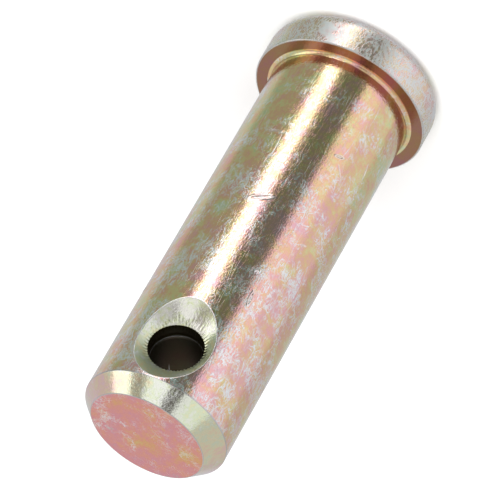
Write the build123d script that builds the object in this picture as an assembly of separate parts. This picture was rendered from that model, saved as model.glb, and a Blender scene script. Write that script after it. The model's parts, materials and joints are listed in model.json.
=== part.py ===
from build123d import *
import math
import os

# Half-inch clevis pin, upset-headed in one piece from round steel bar.
# Frame: origin at the centre of the head's outer face, +Z up the shank to the tip,
# +X along the cross hole that takes the cotter. All sizes are in millimetres.

# Driving dimensions
shank_diameter = 12.6  # half-inch nominal, as turned
head_to_tip = 38.1  # underside of the head to the tip face, 1 1/2 in
head_diameter = 15.6
head_thickness = 3.8
hole_diameter = 4.5  # takes a 4 mm cotter
hole_from_head = 32.15  # underside of the head to the hole's centre line
countersink_diameter = 8.4  # measured across the shank, at the crest
countersink_depth = 1.5  # crest of the shank down to the hole's own rim

# Edge forms left by heading and turning
head_face_radius = 1.5  # soft outer corner of the upset head
head_edge_break = 0.12  # edge of the bearing face
neck_fillet = 0.35  # under the head
chamfer_width = 1.2  # lead chamfer at the tip, measured across
chamfer_length = 1.6  # and along the axis
tip_face_round = 0.1
chamfer_round = 0.1

# Worked out from the sizes above
shank_radius = shank_diameter / 2
head_radius = head_diameter / 2
hole_radius = hole_diameter / 2
tip_radius = shank_radius - chamfer_width
tip_height = head_thickness + head_to_tip
chamfer_start = tip_height - chamfer_length
hole_height = head_thickness + hole_from_head
hole_rim = shank_radius - countersink_depth
countersink_slope = (countersink_diameter / 2 - hole_radius) / countersink_depth

# Corners of the half profile in the XZ plane, from the head's outer corner to the
# tip face's edge, each with the radius that it is rounded to
corners = [
    ((head_radius, 0), head_face_radius),
    ((head_radius, head_thickness), head_edge_break),
    ((shank_radius, head_thickness), neck_fillet),
    ((shank_radius, chamfer_start), chamfer_round),
    ((tip_radius, tip_height), tip_face_round),
]


def turned_blank():
    """The headed blank: the rounded half profile turned about the axis."""
    outline = [point for point, _ in corners]
    with BuildPart() as blank:
        with BuildSketch(Plane.XZ):
            with BuildLine():
                FilletPolyline(
                    [(0, 0), *outline, (0, tip_height)],
                    radius=[radius for _, radius in corners],
                )
                Line((0, tip_height), (0, 0))
            make_face()
        revolve(axis=Axis.Z)
    return blank.part


def cross_hole():
    """The drilled cross hole with a conical countersink at each mouth."""
    overshoot = 1.0  # how far each tool stands out of the shank
    reach = shank_radius + overshoot
    cone_height = countersink_depth + overshoot
    mouth_radius = hole_radius + countersink_slope * cone_height
    with BuildPart() as tool:
        Cylinder(hole_radius, 2 * reach)
        for side in (1, -1):
            middle = side * (hole_rim + cone_height / 2)
            turn = 0 if side == 1 else 180
            with Locations(Location((0, 0, middle), (turn, 0, 0))):
                Cone(hole_radius, mouth_radius, cone_height)
    return Location((0, 0, hole_height)) * Rotation(0, 90, 0) * tool.part


clevis_pin = turned_blank() - cross_hole()

csk_angle = 2 * math.degrees(math.atan(countersink_slope))
print(f"countersink included angle {csk_angle:.1f} degrees")
print(f"volume {clevis_pin.volume:.1f} mm3, solids {len(clevis_pin.solids())}")

os.makedirs("parts", exist_ok=True)
export_step(clevis_pin, "parts/clevis_pin.step")
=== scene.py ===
import json
import math

import bmesh
import bpy
import numpy as np
from mathutils import Matrix, Vector


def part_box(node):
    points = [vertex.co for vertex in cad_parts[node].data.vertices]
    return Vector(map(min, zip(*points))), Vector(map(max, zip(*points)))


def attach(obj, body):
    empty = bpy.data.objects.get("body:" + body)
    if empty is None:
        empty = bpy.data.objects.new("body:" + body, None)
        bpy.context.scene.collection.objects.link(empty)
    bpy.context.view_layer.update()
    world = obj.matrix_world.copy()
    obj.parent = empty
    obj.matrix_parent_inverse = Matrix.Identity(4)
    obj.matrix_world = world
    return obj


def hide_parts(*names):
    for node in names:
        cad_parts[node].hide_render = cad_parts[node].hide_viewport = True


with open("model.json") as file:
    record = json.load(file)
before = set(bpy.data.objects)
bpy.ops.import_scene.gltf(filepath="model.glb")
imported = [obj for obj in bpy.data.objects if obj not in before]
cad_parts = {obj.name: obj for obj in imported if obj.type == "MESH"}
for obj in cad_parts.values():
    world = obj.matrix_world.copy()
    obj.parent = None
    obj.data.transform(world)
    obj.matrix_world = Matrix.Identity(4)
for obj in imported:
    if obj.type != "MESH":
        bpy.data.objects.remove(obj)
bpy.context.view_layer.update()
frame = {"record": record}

# --- Turned and headed body -----------------------------------------------------------------
# A round steel bar, upset at one end into a flat round head, its shank turned and its tip
# chamfered. One closed skin of fine rows, left open at two windows where the cross hole breaks
# through. Lengths in this section are in millimetres, and the skin is made metres at its end.
MM = 0.001
mounts = {mount["name"]: mount for mount in frame["record"]["mounts"]}
pin_low, pin_high = (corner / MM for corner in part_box("clevis_pin"))
shank_radius = mounts["shank"]["dims"]["r_mm"]
head_radius = (pin_high.x - pin_low.x) / 2
head_thickness = mounts["head_seat"]["pos_m"][2] / MM
head_face_radius = 1.5
head_edge_radius = 0.12
neck_radius = 0.35
chamfer_start = 40.3
tip_radius = 5.1
edge_radius = 0.1
# The tip was sawn a little out of square, so its face leans and the chamfer is wider on one side.
tip_lean = (0.0286, -0.0379)
tip_middle = pin_high.z - math.hypot(*tip_lean) * tip_radius
chamfer_slope = (shank_radius - tip_radius) / (tip_middle - chamfer_start)

head_centre_ring, tip_centre_ring = 0.9, 0.5
arc_steps = (14, 4, 10, 3, 3)

# The finishes, in the order in which their materials are put on the pin.
shank_face, chamfer_face, bore_face, head_face, bearing_face, tip_face, countersink_face = range(7)

columns = 240
column_turn = 2 * math.pi / columns
window_columns = 25
window_rows = 80
hole_height = mounts["cotter_hole"]["pos_m"][2] / MM
window_bottom = 31.05


def rounded(before, corner, after, radius, steps):
    """Points along the arc that rounds a corner of the profile."""
    before, corner, after = (np.array(point, float) for point in (before, corner, after))
    back = (before - corner) / np.linalg.norm(before - corner)
    on = (after - corner) / np.linalg.norm(after - corner)
    half = math.acos(np.clip(back @ on, -1, 1)) / 2
    middle = corner + (back + on) / np.linalg.norm(back + on) * radius / math.sin(half)
    first = corner + back * radius / math.tan(half) - middle
    last = corner + on * radius / math.tan(half) - middle
    sweep = math.pi - 2 * half
    return [
        tuple(middle + (first * math.sin(sweep * (1 - t)) + last * math.sin(sweep * t)) / math.sin(sweep))
        for t in np.linspace(0, 1, steps + 1)
    ]


def run(first, last, count, guard=0.03):
    """Points along a straight run, the outer two just inside its ends to keep the run's shading flat."""
    first, last = np.array(first, float), np.array(last, float)
    inset = guard / np.linalg.norm(last - first)
    return [tuple(first + (last - first) * t) for t in np.linspace(inset, 1 - inset, count)]


def profile(turn):
    """The outline at one angle round the pin, as rows of (radius, height), edge rub and finish."""
    lean = tip_lean[0] * math.cos(turn) + tip_lean[1] * math.sin(turn)
    edge = (shank_radius - chamfer_slope * (tip_middle - chamfer_start)) / (1 + chamfer_slope * lean)
    corners = [
        (0, 0), (head_radius, 0), (head_radius, head_thickness), (shank_radius, head_thickness),
        (shank_radius, chamfer_start), (edge, tip_middle + lean * edge), (0, tip_middle),
    ]
    radii = (head_face_radius, head_edge_radius, neck_radius, edge_radius, edge_radius)
    head_corner, head_edge, neck, chamfer_edge, tip_edge = (
        rounded(*corners[k:k + 3], radii[k], arc_steps[k]) for k in range(len(radii))
    )
    window_heights = np.linspace(window_bottom, chamfer_edge[0][1], window_rows + 1)[:-1]
    tip_centre = (tip_centre_ring, tip_middle + lean * tip_centre_ring)
    below_window = [
        (run((head_centre_ring, 0), head_corner[0], 7), 0.0, head_face),
        (head_corner, 0.0, head_face),
        (run(head_corner[-1], head_edge[0], 12), 0.0, head_face),
        (head_edge, 0.8, head_face),
        (run(head_edge[-1], neck[0], 9), 0.0, bearing_face),
        (neck, 0.0, shank_face),
        (run(neck[-1], (shank_radius, window_bottom), 112)[:-1], 0.0, shank_face),
    ]
    window_up = [
        ([(shank_radius, height) for height in window_heights], 0.0, shank_face),
        (chamfer_edge, 1.0, shank_face),
        (run(chamfer_edge[-1], tip_edge[0], 8), 0.0, chamfer_face),
        (tip_edge, 1.0, chamfer_face),
        (run(tip_edge[-1], tip_centre, 10), 0.0, tip_face),
    ]
    rows = [
        (point, rub, finish) for points, rub, finish in below_window + window_up for point in points
    ]
    return rows, sum(len(points) for points, _, _ in below_window)



skin_points, skin_faces, skin_finish = [(0.0, 0.0, 0.0), (0.0, 0.0, tip_middle)], [], []
edge_rub_and_ridge_highlight, near_rim, smeared = [0.0, 0.0], [0.0, 0.0], [0.0, 0.0]
outlines = [profile(column * column_turn) for column in range(columns)]
row_count, window_first = len(outlines[0][0]), outlines[0][1]
row_finish = [finish for _, _, finish in outlines[0][0]]
window_last = window_first + window_rows


def at(row, column):
    """The skin point of a row and column; the two before them are the middles of the ends."""
    return 2 + row * columns + column % columns


def in_window(row, column):
    """Whether a face lies in one of the two openings, which are centred on +X and -X."""
    across = (column + window_columns) % (columns // 2)
    return window_first <= row < window_last and across < 2 * window_columns


for row in range(row_count):
    for column in range(columns):
        (radius, height), rub, _ = outlines[column][0][row]
        turn = column * column_turn
        skin_points.append((radius * math.cos(turn), radius * math.sin(turn), height))
        edge_rub_and_ridge_highlight.append(rub)
        near_rim.append(0.0)
        smeared.append(0.0)
for column in range(columns):
    skin_faces.append((0, at(0, column + 1), at(0, column)))
    skin_finish.append(head_face)
for row in range(row_count - 1):
    for column in range(columns):
        if in_window(row, column):
            continue
        above = row + 1
        skin_faces.append((at(row, column), at(row, column + 1), at(above, column + 1), at(above, column)))
        skin_finish.append(row_finish[row + 1])
for column in range(columns):
    skin_faces.append((1, at(row_count - 1, column), at(row_count - 1, column + 1)))
    skin_finish.append(tip_face)

# --- Cross hole for the cotter ----------------------------------------------------------------
# Drilled straight through near the tip, and countersunk at both mouths. The cone breaks out of
# the round shank as a pointed oval, 8.4 mm along the pin and about 6.2 mm across it. A thin ridge
# is left in the bore where the drill stopped and was run in again from the other side.
bore_radius = mounts["cotter_hole"]["dims"]["r_mm"]
# How far out from the pin's middle the bore meets the cone, and how fast the cone opens from there.
bore_rim = 4.8
countersink_slope = 1.3
# The mouth's worn edge, the roundness of that edge, and how far the chatter reaches up the cone.
burnish = 0.07
edge_softness = 0.06
scallop_reach = 0.55
ridge_place, ridge_height = 3.5, 0.05
loop_count = 4 * window_columns + 2 * window_rows


def mouth_radius(angle):
    """How far from the hole's centre line the cone leaves the shank, at an angle round the hole."""
    low, high = bore_radius, 6.0
    for _ in range(50):
        radius = (low + high) / 2
        shank_at = math.sqrt(max(shank_radius**2 - (radius * math.cos(angle)) ** 2, 0))
        if bore_rim + (radius - bore_radius) / countersink_slope < shank_at:
            low = radius
        else:
            high = radius
    return radius


for side in (0, 1):
    middle_column = side * columns // 2
    facing = 1 - 2 * side
    loop = [at(window_first, middle_column + k) for k in range(-window_columns, window_columns)]
    loop += [at(window_first + k, middle_column + window_columns) for k in range(window_rows)]
    loop += [at(window_last, middle_column - k) for k in range(-window_columns, window_columns)]
    loop += [at(window_last - k, middle_column - window_columns) for k in range(window_rows)]
    # The square edge of the opening is eased ring by ring into the mouth's own oval.
    places = [(facing * skin_points[v][1], skin_points[v][2] - hole_height) for v in loop]
    loop_angle = np.unwrap([math.atan2(up, across) for across, up in places])
    loop_radius = np.array([math.hypot(*place) for place in places])
    even = 2 * math.pi * np.arange(loop_count) / loop_count
    first_angle = (loop_angle - even).mean()
    half_step = math.pi / loop_count
    first_angle = math.pi / 2 - half_step * round((math.pi / 2 - first_angle) / half_step)
    even = even + first_angle
    mouth = np.array([mouth_radius(angle) for angle in even])
    rings = []
    for t in np.linspace(0, 1, 11)[1:]:
        ease = t * t * (3 - 2 * t)
        angle = loop_angle + (even - loop_angle) * ease
        radius = loop_radius + (mouth + burnish + 0.03 - loop_radius) * t
        rings.append((angle, radius, None, 0.0, 0.0, shank_face))
    for off, rub in ((1.0, 0.0), (0.5, 0.8), (0.0, 1.0), (-0.5, 0.8), (-1.0, 0.0)):
        finish = shank_face if off > -0.5 else countersink_face
        rings.append((even, mouth + burnish * off, None, rub, 0.0, finish))
    for t in np.linspace(0, 1, 15)[1:]:
        radius = mouth - burnish + (bore_radius + 0.04 - mouth + burnish) * t**0.8
        close = np.clip(1 - (radius - bore_radius) / scallop_reach, 0, 1).mean() ** 1.2
        rings.append((even, radius, None, 0.0, close, countersink_face))
    # The bore, from its rim in to the middle: distance from the pin's middle, how far the wall
    # stands in, and how much of the chatter it takes.
    bore = [
        (bore_rim - 0.04, 0.0, 1.0), (bore_rim - 0.2, 0.0, 0.5), (4.3, 0.0, 0.0), (4.0, 0.0, 0.0),
        (ridge_place + 0.09, 0.0, 0.0), (ridge_place + 0.04, ridge_height, 0.0),
        (ridge_place - 0.04, ridge_height, 0.0), (ridge_place - 0.09, 0.0, 0.0),
    ]
    bore += [(depth, 0.0, 0.0) for depth in np.linspace(3.1, 0.0, 9)]
    # On the ridge the edge mask is set full, so the worn-edge grey paints a highlight along it in the dark
    # bore.
    for depth, inward, close in bore:
        radius = np.full(loop_count, bore_radius - inward)
        rings.append((even, radius, depth, inward / ridge_height, close, bore_face))
    outer = loop
    for angle, radius, depth, rub, close, finish in rings:
        inner = []
        for k in range(loop_count):
            across, up = radius[k] * math.cos(angle[k]), radius[k] * math.sin(angle[k])
            if depth is None:
                shank_at = math.sqrt(shank_radius**2 - across**2)
                cone_at = bore_rim + (radius[k] - bore_radius) / countersink_slope
                gap = max(edge_softness - abs(shank_at - cone_at), 0) / edge_softness
                out = min(shank_at, cone_at) - gap * gap * edge_softness / 4
            else:
                out = depth
            inner.append(len(skin_points))
            skin_points.append((facing * out, facing * across, up + hole_height))
            edge_rub_and_ridge_highlight.append(rub)
            near_rim.append(close)
            smear = np.clip(0.35 + up / 1.6, 0, 1) if finish == countersink_face else 0.0
            smeared.append(float(smear))
        for k in range(loop_count):
            after = (k + 1) % loop_count
            skin_faces.append((outer[k], outer[after], inner[after], inner[k]))
            skin_finish.append(finish)
        outer = inner

skin = bpy.data.meshes.new("clevis_pin_skin")
skin.from_pydata([tuple(MM * c for c in point) for point in skin_points], [], skin_faces)
for name, values in (("edge_rub_and_ridge_highlight", edge_rub_and_ridge_highlight), ("near_rim", near_rim), ("smeared", smeared)):
    skin.attributes.new(name, "FLOAT", "POINT").data.foreach_set("value", values)
skin.polygons.foreach_set("material_index", skin_finish)

# --- Handling dings ---------------------------------------------------------------------------
# Short nicks and scrapes from loose pins knocking together in the box: shallow grooves with a
# little metal pushed up along their sides. Each is (degrees round from +X, height in mm, degrees
# from the pin's line, length, width and depth in mm).
dings = [
    (-2.7, 20.14, 63, 1.7, 0.36, 0.07),
    (-57.0, 25.81, 68, 1.0, 0.16, 0.05),
    (-34.2, 29.30, -5, 1.2, 0.2, 0.05),
    (-39.8, 12.60, 63, 0.7, 0.25, 0.05),
    (-45.6, 13.70, -41, 1.5, 0.1, 0.03),
    (-67.5, 11.53, -10, 1.1, 0.16, 0.04),
    (-52.8, 9.66, -27, 0.85, 0.12, 0.04),
    (16.0, 13.01, 90, 1.2, 0.18, 0.05),
    (-28.4, 26.80, 39, 0.45, 0.2, 0.05),
    (-50.0, 21.80, 60, 0.5, 0.14, 0.04),
    (96.0, 17.2, 75, 1.3, 0.28, 0.06),
    (141.0, 27.9, 20, 1.0, 0.2, 0.05),
    (205.0, 12.4, -62, 1.4, 0.22, 0.05),
    (236.0, 23.1, 48, 0.8, 0.24, 0.05),
    (262.0, 33.0, -30, 1.1, 0.16, 0.04),
    (64.0, 30.2, -70, 0.9, 0.2, 0.05),
]

shell = bmesh.new()
shell.from_mesh(skin)
loose = [v for v in shell.verts if not v.link_faces]
bmesh.ops.delete(shell, geom=loose, context="VERTS")
bmesh.ops.remove_doubles(shell, verts=shell.verts, dist=1e-7)


def ding_line(around, height, slant):
    """A ding's middle on the shank, the way out from it, and the line that it runs along."""
    turn = math.radians(around)
    outward = Vector((math.cos(turn), math.sin(turn), 0))
    along = Matrix.Rotation(math.radians(-slant), 3, outward) @ Vector((0, 0, 1))
    return outward * shank_radius * MM + Vector((0, 0, height * MM)), outward, along


near = set()
edge_list = list(shell.edges)
edge_middles = np.array([(edge.verts[0].co + edge.verts[1].co) / 2 for edge in edge_list])
for around, height, slant, length, width, _ in dings:
    place, outward, along = ding_line(around, height, slant)
    away = edge_middles - np.array(place)
    inside = (abs(away @ np.array(along)) < (length / 2 + 0.25) * MM)
    inside &= (abs(away @ np.array(outward.cross(along))) < (width / 2 + 0.3) * MM)
    inside &= away @ np.array(outward) > -1.0 * MM
    near.update(edge_list[k] for k in np.flatnonzero(inside))
parted = bmesh.ops.subdivide_edges(shell, edges=list(near), cuts=3, use_grid_fill=True)
for v in (item for item in parted["geom_inner"] if isinstance(item, bmesh.types.BMVert)):
    to_round = shank_radius * MM / math.hypot(v.co.x, v.co.y)
    v.co.x *= to_round
    v.co.y *= to_round
for face in shell.faces:
    face.smooth = True
shell.to_mesh(skin)
shell.free()

pin = bpy.data.objects.new("clevis_pin_finished", skin)
bpy.context.scene.collection.objects.link(pin)

ding_points = bpy.data.meshes.new("ding_points")
ding_lines = [ding_line(*ding[:3]) for ding in dings]
ding_points.from_pydata([place for place, _, _ in ding_lines], [], [])
ding_directions = [part for _, _, along in ding_lines for part in along]
ding_points.attributes.new("along", "FLOAT_VECTOR", "POINT").data.foreach_set("vector", ding_directions)
for name, part, share in (("half_length", 3, 0.5), ("half_width", 4, 0.5), ("deep", 5, 1.0)):
    values = [ding[part] * share * MM for ding in dings]
    ding_points.attributes.new(name, "FLOAT", "POINT").data.foreach_set("value", values)
ding_marks = bpy.data.objects.new("ding_marks", ding_points)
bpy.context.scene.collection.objects.link(ding_marks)


def add_node(tree, kind, inputs=(), **settings):
    """One node of a tree: settings are its own choices, inputs are (socket, value or output)."""
    made = tree.nodes.new(kind)
    for name, value in settings.items():
        setattr(made, name, value)
    for socket, value in inputs:
        if isinstance(value, bpy.types.NodeSocket):
            tree.links.new(value, made.inputs[socket])
        else:
            made.inputs[socket].default_value = value
    return made


def reckon(tree, operation, *values, clamp=False):
    """The result of one Math node."""
    pairs = list(enumerate(values))
    return add_node(tree, "ShaderNodeMath", pairs, operation=operation, use_clamp=clamp).outputs[0]


def vector_reckon(tree, operation, *values):
    """The result of one Vector Math node."""
    made = add_node(tree, "ShaderNodeVectorMath", list(enumerate(values)), operation=operation)
    return made.outputs["Value" if operation in ("DOT_PRODUCT", "LENGTH") else "Vector"]


def named(tree, name, kind="FLOAT"):
    """A named attribute of the mesh."""
    return add_node(tree, "GeometryNodeInputNamedAttribute", [("Name", name)], data_type=kind).outputs[0]


def geometry_tree(name, sockets):
    """An empty Geometry Nodes tree with its named inputs; returns it with its two end nodes."""
    tree = bpy.data.node_groups.new(name, "GeometryNodeTree")
    tree.interface.new_socket(name="Geometry", in_out="INPUT", socket_type="NodeSocketGeometry")
    for label, kind in sockets:
        tree.interface.new_socket(name=label, in_out="INPUT", socket_type="NodeSocket" + kind)
    tree.interface.new_socket(name="Geometry", in_out="OUTPUT", socket_type="NodeSocketGeometry")
    return tree, tree.nodes.new("NodeGroupInput"), tree.nodes.new("NodeGroupOutput")


ding_tree, given, result = geometry_tree(
    "knock_dings", [("Dings", "Object"), ("Lip height", "Float"), ("Lip spread", "Float")]
)
marks = add_node(
    ding_tree, "GeometryNodeObjectInfo", [("Object", given.outputs["Dings"])]
).outputs["Geometry"]
position = add_node(ding_tree, "GeometryNodeInputPosition").outputs[0]
nearest = add_node(
    ding_tree, "GeometryNodeSampleNearest", [("Geometry", marks), ("Sample Position", position)],
    domain="POINT",
).outputs[0]


def of_ding(field, kind="FLOAT"):
    """A value of the nearest ding."""
    return add_node(
        ding_tree, "GeometryNodeSampleIndex", [("Geometry", marks), ("Value", field), ("Index", nearest)],
        data_type=kind, domain="POINT",
    ).outputs[0]


ding_centre = of_ding(add_node(ding_tree, "GeometryNodeInputPosition").outputs[0], "FLOAT_VECTOR")
along = of_ding(named(ding_tree, "along", "FLOAT_VECTOR"), "FLOAT_VECTOR")
half_length = of_ding(named(ding_tree, "half_length"))
half_width = of_ding(named(ding_tree, "half_width"))
deep = of_ding(named(ding_tree, "deep"))
normal = add_node(ding_tree, "GeometryNodeInputNormal").outputs[0]
away = vector_reckon(ding_tree, "SUBTRACT", position, ding_centre)
beside = vector_reckon(ding_tree, "CROSS_PRODUCT", normal, along)
lengthwise = reckon(ding_tree, "DIVIDE", vector_reckon(ding_tree, "DOT_PRODUCT", away, along), half_length)
crosswise = reckon(ding_tree, "DIVIDE", vector_reckon(ding_tree, "DOT_PRODUCT", away, beside), half_width)
from_middle = reckon(
    ding_tree, "SQRT",
    reckon(ding_tree, "ADD", reckon(ding_tree, "POWER", reckon(ding_tree, "ABSOLUTE", lengthwise), 2.0),
           reckon(ding_tree, "POWER", reckon(ding_tree, "ABSOLUTE", crosswise), 2.0)),
)
bowl = reckon(
    ding_tree, "SUBTRACT", 1.0, reckon(ding_tree, "MULTIPLY", from_middle, from_middle), clamp=True
)
lip_reach = reckon(
    ding_tree, "DIVIDE", reckon(ding_tree, "ABSOLUTE", reckon(ding_tree, "SUBTRACT", from_middle, 1.25)),
    given.outputs["Lip spread"],
)
lip = reckon(ding_tree, "SUBTRACT", 1.0, reckon(ding_tree, "MULTIPLY", lip_reach, lip_reach), clamp=True)
lift = reckon(
    ding_tree, "SUBTRACT", reckon(ding_tree, "MULTIPLY", lip, given.outputs["Lip height"]), bowl
)
shift = vector_reckon(ding_tree, "SCALE", normal)
ding_tree.links.new(reckon(ding_tree, "MULTIPLY", lift, deep), shift.node.inputs["Scale"])
knocked = add_node(
    ding_tree, "GeometryNodeSetPosition", [("Geometry", given.outputs["Geometry"]), ("Offset", shift)]
).outputs[0]
worn = add_node(
    ding_tree, "GeometryNodeStoreNamedAttribute",
    [("Geometry", knocked), ("Name", "ding"), ("Value", reckon(ding_tree, "ADD", bowl, lip))],
    data_type="FLOAT", domain="POINT",
).outputs[0]
ding_tree.links.new(worn, result.inputs[0])

# --- Drill chatter ------------------------------------------------------------------------------
# The countersink tool chattered as it bottomed, so the rim of the hole is finely scalloped all
# round, with a short groove up the cone at each scallop. One tree cuts every groove.
chatter_tree, given, result = geometry_tree(
    "drill_chatter",
    [("Scallops", "Float"), ("Depth", "Float"), ("Hole height", "Float"), ("Seed", "Float")],
)
spot = add_node(chatter_tree, "GeometryNodeInputPosition").outputs[0]
parts = add_node(chatter_tree, "ShaderNodeSeparateXYZ", [("Vector", spot)]).outputs
above_hole = reckon(chatter_tree, "SUBTRACT", parts["Z"], given.outputs["Hole height"])
round_hole = reckon(chatter_tree, "ARCTAN2", above_hole, parts["Y"])
waver = add_node(
    chatter_tree, "ShaderNodeTexNoise", [("Vector", spot), ("W", given.outputs["Seed"]), ("Scale", 1500.0)],
    noise_dimensions="4D",
).outputs[0]
swing = reckon(
    chatter_tree, "ADD", reckon(chatter_tree, "MULTIPLY", round_hole, given.outputs["Scallops"]),
    reckon(chatter_tree, "MULTIPLY", waver, 5.0),
)
groove = reckon(chatter_tree, "MULTIPLY_ADD", reckon(chatter_tree, "COSINE", swing), 0.5, 0.5)
cut = reckon(
    chatter_tree, "MULTIPLY", reckon(chatter_tree, "MULTIPLY", groove, given.outputs["Depth"]),
    named(chatter_tree, "near_rim"),
)
skin_normal = add_node(chatter_tree, "GeometryNodeInputNormal").outputs[0]
sink = vector_reckon(chatter_tree, "SCALE", skin_normal)
chatter_tree.links.new(reckon(chatter_tree, "MULTIPLY", cut, -1.0), sink.node.inputs["Scale"])
scalloped = add_node(
    chatter_tree, "GeometryNodeSetPosition", [("Geometry", given.outputs["Geometry"]), ("Offset", sink)]
).outputs[0]
chatter_tree.links.new(scalloped, result.inputs[0])


def apply_tree(piece, tree, values):
    """Runs a tree on a piece and leaves the result as its plain mesh."""
    modifier = piece.modifiers.new(tree.name, "NODES")
    modifier.node_group = tree
    for item in tree.interface.items_tree:
        if item.in_out == "INPUT" and item.name in values:
            modifier[item.identifier] = values[item.name]
    evaluated = piece.evaluated_get(bpy.context.evaluated_depsgraph_get())
    made = bpy.data.meshes.new_from_object(evaluated)
    piece.modifiers.clear()
    piece.data = made


apply_tree(pin, ding_tree, {"Dings": ding_marks, "Lip height": 0.35, "Lip spread": 0.4})
apply_tree(
    pin, chatter_tree,
    {"Scallops": 52.0, "Depth": 0.075 * MM, "Hole height": hole_height * MM, "Seed": 3.0},
)
bpy.data.objects.remove(ding_marks)

# --- Yellow zinc finish -------------------------------------------------------------------------
# Electroplated zinc under a thin chromate film whose colour runs from lime through yellow and
# orange to pink with its thickness. Tumbling with other pins has rubbed it back to bare zinc in a
# web of fine strokes and along every edge.


def effect_group(name, inputs, outputs):
    """An empty shader group with its named inputs and outputs; returns it with its end nodes."""
    group = bpy.data.node_groups.new(name, "ShaderNodeTree")
    for label, kind, value in inputs:
        socket = group.interface.new_socket(name=label, in_out="INPUT", socket_type="NodeSocket" + kind)
        if value is not None:
            socket.default_value = value
    for label, kind in outputs:
        group.interface.new_socket(name=label, in_out="OUTPUT", socket_type="NodeSocket" + kind)
    return group, group.nodes.new("NodeGroupInput"), group.nodes.new("NodeGroupOutput")


def noise(tree, vector, scale, detail=2.0, roughness=0.5, distortion=0.0):
    return add_node(
        tree, "ShaderNodeTexNoise",
        [("Vector", vector), ("Scale", scale), ("Detail", detail), ("Roughness", roughness),
         ("Distortion", distortion)],
    ).outputs["Fac"]


def between(tree, value, low, high, to_low=0.0, to_high=1.0):
    """A value brought smoothly from one range to another."""
    return add_node(
        tree, "ShaderNodeMapRange",
        [("Value", value), ("From Min", low), ("From Max", high), ("To Min", to_low), ("To Max", to_high)],
        interpolation_type="SMOOTHSTEP",
    ).outputs["Result"]


def off_middle(tree, field):
    """How far a noise is from its middle value, which draws it as a net of lines."""
    return reckon(tree, "ABSOLUTE", reckon(tree, "SUBTRACT", field, 0.5))


def nudged(tree, base, field, amount):
    """A value moved up and down by a noise."""
    return reckon(tree, "MULTIPLY_ADD", reckon(tree, "SUBTRACT", field, 0.5), amount, base)


def up_the_pin(tree, vector):
    """A height in millimetres as -1 at the head's face, 0 half way up and about 1 at the tip."""
    height = add_node(tree, "ShaderNodeSeparateXYZ", [("Vector", vector)]).outputs["Z"]
    half_length = 20.0
    return reckon(tree, "MULTIPLY_ADD", height, 1 / half_length, -1.0)


def mixed(tree, share, first, second, blend="MIX"):
    """Two colours mixed; each is an output, or red, green and blue."""
    first, second = (
        colour if isinstance(colour, bpy.types.NodeSocket) else (*colour, 1) for colour in (first, second)
    )
    return add_node(
        tree, "ShaderNodeMix", [("Factor", share), (6, first), (7, second)],
        data_type="RGBA", blend_type=blend,
    ).outputs[2]


film_group, given, result = effect_group(
    "chromate_film",
    [("Vector", "Vector", None), ("Thickness", "Float", 0.5), ("Round swing", "Float", 0.2),
     ("Tip drift", "Float", 0.1), ("Mottle", "Float", 0.3), ("Patch scale", "Float", 0.5),
     ("Paleness", "Float", 0.0), ("Speckle", "Float", 0.3)],
    [("Color", "Color"), ("Phase", "Float")],
)
parts = add_node(film_group, "ShaderNodeSeparateXYZ", [("Vector", given.outputs["Vector"])]).outputs
turn = reckon(film_group, "ARCTAN2", parts["Y"], parts["X"])
swing = reckon(film_group, "COSINE", reckon(film_group, "MULTIPLY_ADD", turn, 2.0, 0.95))
upward = up_the_pin(film_group, given.outputs["Vector"])
broad = noise(film_group, given.outputs["Vector"], 0.28, 2.0, 0.5, 0.6)
patches = noise(film_group, given.outputs["Vector"], given.outputs["Patch scale"], 3.0, 0.62, 0.4)
phase = reckon(film_group, "MULTIPLY_ADD", swing, given.outputs["Round swing"], given.outputs["Thickness"])
phase = reckon(film_group, "MULTIPLY_ADD", upward, given.outputs["Tip drift"], phase)
speckle = noise(film_group, given.outputs["Vector"], 3.6, 2.0, 0.6)
phase = nudged(film_group, phase, broad, 0.55)
phase = nudged(film_group, phase, patches, given.outputs["Mottle"])
phase = nudged(film_group, phase, speckle, given.outputs["Speckle"])
ramp = add_node(film_group, "ShaderNodeValToRGB", [("Fac", phase)])
film_colours = [
    (0.02, (0.72, 0.72, 0.62)), (0.16, (0.60, 0.68, 0.36)), (0.32, (0.78, 0.66, 0.28)),
    (0.48, (0.84, 0.50, 0.24)), (0.64, (0.86, 0.42, 0.36)), (0.82, (0.80, 0.40, 0.46)),
    (0.98, (0.56, 0.62, 0.50)),
]
for index, (place, colour) in enumerate(film_colours):
    stop = ramp.color_ramp.elements[index] if index < 2 else ramp.color_ramp.elements.new(place)
    stop.position = place
    stop.color = (*colour, 1)
thinned = mixed(film_group, given.outputs["Paleness"], ramp.outputs["Color"], (0.85, 0.85, 0.83))
film_group.links.new(thinned, result.inputs["Color"])
film_group.links.new(phase, result.inputs["Phase"])

rub_group, given, result = effect_group(
    "tumbled_rub",
    [("Vector", "Vector", None), ("Cover", "Float", 0.4), ("Stroke scale", "Float", 1.3),
     ("Toward tip", "Float", 0.1)],
    [("Rub", "Float")],
)
stretched = add_node(
    rub_group, "ShaderNodeMapping", [("Vector", given.outputs["Vector"]), ("Scale", (1.0, 1.0, 0.5))],
    vector_type="POINT",
).outputs[0]
strokes = noise(rub_group, stretched, given.outputs["Stroke scale"], 4.0, 0.6, 1.2)
web = between(rub_group, off_middle(rub_group, strokes), 0.012, 0.05, 1.0, 0.0)
fine_scale = reckon(rub_group, "MULTIPLY", given.outputs["Stroke scale"], 2.1)
elsewhere = vector_reckon(rub_group, "ADD", stretched, (7.3, 2.1, 5.7))
fine_strokes = noise(rub_group, elsewhere, fine_scale, 3.0, 0.6, 0.8)
fine_web = between(rub_group, off_middle(rub_group, fine_strokes), 0.01, 0.06, 0.8, 0.0)
worn = noise(rub_group, given.outputs["Vector"], 0.45, 4.0, 0.65, 0.3)
upward = up_the_pin(rub_group, given.outputs["Vector"])
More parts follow.
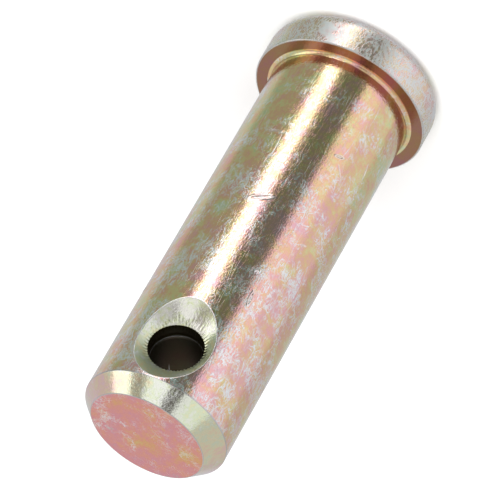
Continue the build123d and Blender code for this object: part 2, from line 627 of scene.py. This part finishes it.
cover = reckon(rub_group, "MULTIPLY_ADD", upward, given.outputs["Toward tip"], given.outputs["Cover"])
level = reckon(rub_group, "SUBTRACT", reckon(rub_group, "ADD", worn, cover), 0.5)
patch = between(rub_group, level, 0.55, 0.68)
fine_web = reckon(rub_group, "MULTIPLY", fine_web, between(rub_group, level, 0.3, 0.5))
web = reckon(rub_group, "MULTIPLY", web, between(rub_group, level, 0.22, 0.42))
webbed = reckon(rub_group, "MAXIMUM", web, fine_web)
hairlines = 0.0
for lean, shift, scale in ((25, 3.1, 0.9), (-48, 8.4, 1.1), (80, 5.9, 0.8)):
    leaned = add_node(
        rub_group, "ShaderNodeMapping",
        [("Vector", given.outputs["Vector"]), ("Location", (shift, shift, shift)),
         ("Rotation", (math.radians(lean), 0, 0)), ("Scale", (1.0, 1.0, 0.1))],
    ).outputs[0]
    hair = noise(rub_group, leaned, scale, 1.0, 0.5, 0.3)
    hair = between(rub_group, off_middle(rub_group, hair), 0.002, 0.006, 0.85, 0.0)
    some = between(rub_group, noise(rub_group, leaned, scale * 2.3, 2.0), 0.52, 0.6)
    hairlines = reckon(rub_group, "MAXIMUM", reckon(rub_group, "MULTIPLY", hair, some), hairlines)
hairlines = reckon(rub_group, "MULTIPLY", hairlines, between(rub_group, level, 0.1, 0.3))
rubbed = reckon(rub_group, "MAXIMUM", reckon(rub_group, "MAXIMUM", webbed, patch), hairlines)
rub_group.links.new(rubbed, result.inputs["Rub"])

grain_group, given, result = effect_group(
    "plating_grain",
    [("Vector", "Vector", None), ("Grain scale", "Float", 7.0), ("Scratch", "Float", 0.4)],
    [("Height", "Float")],
)
grain = noise(grain_group, given.outputs["Vector"], given.outputs["Grain scale"], 2.0, 0.55)
long_way = add_node(
    grain_group, "ShaderNodeMapping", [("Vector", given.outputs["Vector"]), ("Scale", (1.0, 1.0, 0.12))],
    vector_type="POINT",
).outputs[0]
scratches = noise(grain_group, long_way, 5.0, 2.0, 0.6, 0.5)
scratch_line = between(grain_group, off_middle(grain_group, scratches), 0.0, 0.02, -1.0, 0.0)
relief = reckon(grain_group, "MULTIPLY_ADD", scratch_line, given.outputs["Scratch"], grain)
grain_group.links.new(relief, result.inputs["Height"])


zinc = (0.86, 0.86, 0.86)
# Grey of worn edges, also used as the painted highlight along the bore's ridge.
worn_edge_and_ridge_highlight = (0.55, 0.56, 0.57)


def plated_finish(name, film, rub, grain, bump, bare_colour, film_rough, bare_rough, tint_and_painted_shade=(1, 1, 1)):
    """One finish of the pin: film colour where it is left, bare zinc where it is rubbed away."""
    material = bpy.data.materials.new(name)
    material.use_nodes = True
    tree = material.node_tree
    tree.nodes.clear()
    place = add_node(tree, "ShaderNodeTexCoord").outputs["Object"]
    in_mm = vector_reckon(tree, "SCALE", place)
    in_mm.node.inputs["Scale"].default_value = 1 / MM
    groups = []
    for group, values in ((film_group, film), (rub_group, rub), (grain_group, grain)):
        groups.append(add_node(tree, "ShaderNodeGroup", node_tree=group))
        tree.links.new(in_mm, groups[-1].inputs["Vector"])
        for label, value in values.items():
            groups[-1].inputs[label].default_value = value
    coloured, rubbed, grained = groups
    edge = add_node(tree, "ShaderNodeAttribute", attribute_name="edge_rub_and_ridge_highlight").outputs["Fac"]
    ding = add_node(tree, "ShaderNodeAttribute", attribute_name="ding").outputs["Fac"]
    smear = add_node(tree, "ShaderNodeAttribute", attribute_name="smeared").outputs["Fac"]
    bare = reckon(tree, "MAXIMUM", rubbed.outputs["Rub"], reckon(tree, "MULTIPLY", ding, 0.6), clamp=True)
    # The film colour is multiplied by a tint; on the bore and the bearing face this tint is dark, which
    # paints shade there.
    film_colour = mixed(tree, 1.0, coloured.outputs["Color"], tint_and_painted_shade, "MULTIPLY")
    colour = mixed(tree, bare, film_colour, bare_colour)
    # Edges take the worn grey; along the bore's ridge this grey is a painted highlight.
    colour = mixed(tree, reckon(tree, "MULTIPLY", edge, 0.75), colour, worn_edge_and_ridge_highlight)
    rough = between(tree, bare, 0.0, 1.0, film_rough, bare_rough)
    rough = reckon(tree, "MULTIPLY_ADD", smear, 0.22, rough)
    relief = reckon(tree, "MULTIPLY_ADD", bare, -0.2, grained.outputs["Height"])
    bumped = add_node(
        tree, "ShaderNodeBump", [("Height", relief), ("Distance", bump * MM), ("Strength", 1.0)]
    ).outputs[0]
    surface = add_node(
        tree, "ShaderNodeBsdfPrincipled",
        [("Base Color", colour), ("Roughness", rough), ("Metallic", 1.0), ("Normal", bumped)],
    )
    add_node(tree, "ShaderNodeOutputMaterial", [("Surface", surface.outputs[0])])
    return material


shank_finish = plated_finish(
    "tumbled_yellow_zinc",
    {"Thickness": 0.475, "Round swing": 0.11, "Tip drift": 0.05, "Mottle": 0.9, "Patch scale": 0.8,
     "Paleness": 0.12, "Speckle": 0.35},
    {"Cover": 0.31, "Stroke scale": 1.6, "Toward tip": 0.06},
    {"Grain scale": 6.0, "Scratch": 0.1}, 0.012, zinc, 0.10, 0.22,
)
chamfer_finish = plated_finish(
    "turned_chamfer",
    {"Thickness": 0.27, "Round swing": -0.25, "Tip drift": 0.0, "Mottle": 0.9, "Patch scale": 1.1,
     "Paleness": 0.45, "Speckle": 0.5},
    {"Cover": 0.18, "Stroke scale": 1.8, "Toward tip": 0.0},
    {"Grain scale": 5.0, "Scratch": 0.1}, 0.010, zinc, 0.09, 0.20,
)
# The bore's film colour is multiplied down to near black: painted shade inside the hole.
bore_finish = plated_finish(
    "bore_painted_shade",
    {"Thickness": 0.40, "Round swing": 0.0, "Tip drift": 0.0, "Mottle": 0.3, "Patch scale": 0.6,
     "Paleness": 0.0, "Speckle": 0.3},
    {"Cover": -1.0, "Stroke scale": 1.4, "Toward tip": 0.0},
    {"Grain scale": 5.0, "Scratch": 0.1}, 0.006, zinc, 0.45, 0.35,
    tint_and_painted_shade=(0.085, 0.085, 0.09),
)
head_finish = plated_finish(
    "rubbed_head",
    {"Thickness": 0.48, "Round swing": 0.1, "Tip drift": 0.0, "Mottle": 1.0, "Patch scale": 0.5,
     "Paleness": 0.35, "Speckle": 0.3},
    {"Cover": 0.5, "Stroke scale": 1.0, "Toward tip": 0.0},
    {"Grain scale": 5.0, "Scratch": 0.1}, 0.016, (0.80, 0.79, 0.78), 0.24, 0.42,
)
# The bearing face under the head is darkened to 0.4 of its film colour: painted shade under the head.
bearing_finish = plated_finish(
    "bearing_face_painted_shade",
    {"Thickness": 0.55, "Round swing": 0.0, "Tip drift": 0.0, "Mottle": 0.3, "Patch scale": 0.5,
     "Paleness": 0.0, "Speckle": 0.2},
    {"Cover": -0.1, "Stroke scale": 1.2, "Toward tip": 0.0},
    {"Grain scale": 5.0, "Scratch": 0.1}, 0.010, zinc, 0.16, 0.35, tint_and_painted_shade=(0.40, 0.39, 0.42),
)
tip_finish = plated_finish(
    "sawn_tip_face",
    {"Thickness": 0.66, "Round swing": 0.0, "Tip drift": 0.0, "Mottle": 0.8, "Patch scale": 0.5,
     "Paleness": 0.0, "Speckle": 0.35},
    {"Cover": 0.24, "Stroke scale": 2.0, "Toward tip": 0.0},
    {"Grain scale": 5.0, "Scratch": 0.1}, 0.012, zinc, 0.24, 0.34, tint_and_painted_shade=(0.92, 0.86, 0.86),
)
countersink_finish = plated_finish(
    "drilled_countersink",
    {"Thickness": 0.15, "Round swing": 0.0, "Tip drift": 0.0, "Mottle": 0.6, "Patch scale": 0.9,
     "Paleness": 0.3, "Speckle": 0.4},
    {"Cover": 0.15, "Stroke scale": 1.6, "Toward tip": 0.0},
    {"Grain scale": 6.0, "Scratch": 0.1}, 0.016, zinc, 0.18, 0.28, tint_and_painted_shade=(1.0, 0.97, 1.0),
)
for finish in (
    shank_finish, chamfer_finish, bore_finish, head_finish, bearing_finish, tip_finish, countersink_finish
):
    pin.data.materials.append(finish)

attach(pin, "root")
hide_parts("clevis_pin")

# --- Studio ---------------------------------------------------------------------------------------
# The pin stands on its head on a plain white floor. A ring of white panels goes round it, with a
# narrow bright box, a broad soft one, and a dark gap where the camera stands.
camera_azimuth, camera_elevation, camera_roll = -19.75, 33.92, 149.96
camera_distance, lens = 0.3770, 327.7
aim = Vector((0.14, 0.39, 21.14)) * MM
turn, rise, roll = (math.radians(angle) for angle in (camera_azimuth, camera_elevation, camera_roll))
backward = Vector((math.cos(rise) * math.cos(turn), math.cos(rise) * math.sin(turn), math.sin(rise)))
level_right = Vector((-math.sin(turn), math.cos(turn), 0))
level_up = backward.cross(level_right)
rolled_up = level_right * math.sin(roll) + level_up * math.cos(roll)
rolled_right = level_right * math.cos(roll) - level_up * math.sin(roll)
camera_data = bpy.data.cameras.new("camera")
camera_data.lens = lens
camera_data.sensor_width = 36.0
camera_data.clip_start = 0.01
camera = bpy.data.objects.new("camera", camera_data)
camera.matrix_world = Matrix((rolled_right, rolled_up, backward)).transposed().to_4x4()
camera.location = aim + backward * camera_distance
bpy.context.scene.collection.objects.link(camera)
bpy.context.scene.camera = camera

floor_size = 4.0
bpy.ops.mesh.primitive_plane_add(size=floor_size, location=(0, 0, 0))
floor = bpy.context.object
floor.name = "floor"
floor_paint = bpy.data.materials.new("white_floor")
floor_paint.use_nodes = True
floor_shader = floor_paint.node_tree.nodes["Principled BSDF"]
floor_shader.inputs["Base Color"].default_value = (0.95, 0.95, 0.95, 1)
floor_shader.inputs["Roughness"].default_value = 0.9
floor_shader.inputs["Specular IOR Level"].default_value = 0.0
floor.data.materials.append(floor_paint)
floor.visible_glossy = False
floor.visible_shadow = False

world = bpy.data.worlds.new("studio")
bpy.context.scene.world = world
world.use_nodes = True
sky = world.node_tree
sky.nodes.clear()
heading = add_node(sky, "ShaderNodeTexCoord").outputs["Generated"]
parts = add_node(sky, "ShaderNodeSeparateXYZ", [("Vector", heading)]).outputs
azimuth = reckon(sky, "ARCTAN2", parts["Y"], parts["X"])
azimuth = reckon(sky, "SUBTRACT", reckon(sky, "DEGREES", azimuth), camera_azimuth)
elevation = reckon(sky, "DEGREES", reckon(sky, "ARCSINE", parts["Z"]))
# Each panel: degrees round from the camera, half width, height in degrees, half height, softness, light.
panels = [
    (0, 180, 45, 46, 12, (0.62, 0.62, 0.62)),
    (-38, 22, -26, 30, 10, (1.00, 1.02, 1.06)),
    (-76, 22, -26, 30, 14, (0.78, 0.82, 0.86)),
    (-150, 44, -40, 44, 14, (0.56, 0.58, 0.60)),
    (86, 34, -40, 44, 10, (0.36, 0.41, 0.38)),
    (168, 36, -40, 44, 14, (0.62, 0.64, 0.70)),
    (0, 21, -45, 41, 8, (0.16, 0.225, 0.19)),
    (37.5, 9.5, -36, 40, 7, (2.6, 2.65, 2.75)),
    (-6, 13, 50, 14, 6, (0.17, 0.16, 0.15)),
    (30, 20, 42, 26, 6, (1.1, 1.12, 1.1)),
    (64, 9, 36, 26, 6, (0.42, 0.38, 0.36)),
    (90, 14, 26, 26, 6, (1.5, 1.5, 1.5)),
    (-44, 26, 42, 22, 8, (0.92, 0.95, 0.90)),
    (180, 40, 30, 26, 10, (0.75, 0.72, 0.72)),
]
light = (0.6, 0.6, 0.6)
for centre, half_width, height, half_height, soft, shade in panels:
    turned = reckon(sky, "WRAP", reckon(sky, "SUBTRACT", azimuth, float(centre)), 180.0, -180.0)
    across = reckon(sky, "ABSOLUTE", turned)
    along_up = reckon(sky, "ABSOLUTE", reckon(sky, "SUBTRACT", elevation, float(height)))
    inside = reckon(
        sky, "MULTIPLY",
        between(sky, across, half_width - soft / 2, half_width + soft / 2, 1.0, 0.0),
        between(sky, along_up, half_height - soft / 2, half_height + soft / 2, 1.0, 0.0),
    )
    light = mixed(sky, inside, light, shade)
seen = add_node(sky, "ShaderNodeLightPath").outputs["Is Camera Ray"]
shown = mixed(sky, seen, light, (1, 1, 1))
background = add_node(sky, "ShaderNodeBackground", [("Color", shown), ("Strength", 1.0)])
add_node(sky, "ShaderNodeOutputWorld", [("Surface", background.outputs[0])])

overhead = bpy.data.lights.new("floor_wash", "AREA")
overhead.shape = "DISK"
overhead.size = 0.5
overhead.energy = 3.0
floor_wash = bpy.data.objects.new("floor_wash", overhead)
floor_wash.location = (0.24, -0.09, 0.56)
floor_wash.rotation_euler = (Vector((0, 0, 0)) - floor_wash.location).to_track_quat("-Z", "Y").to_euler()
floor_wash.visible_glossy = False
bpy.context.scene.collection.objects.link(floor_wash)

bpy.context.scene.view_settings.view_transform = "Standard"
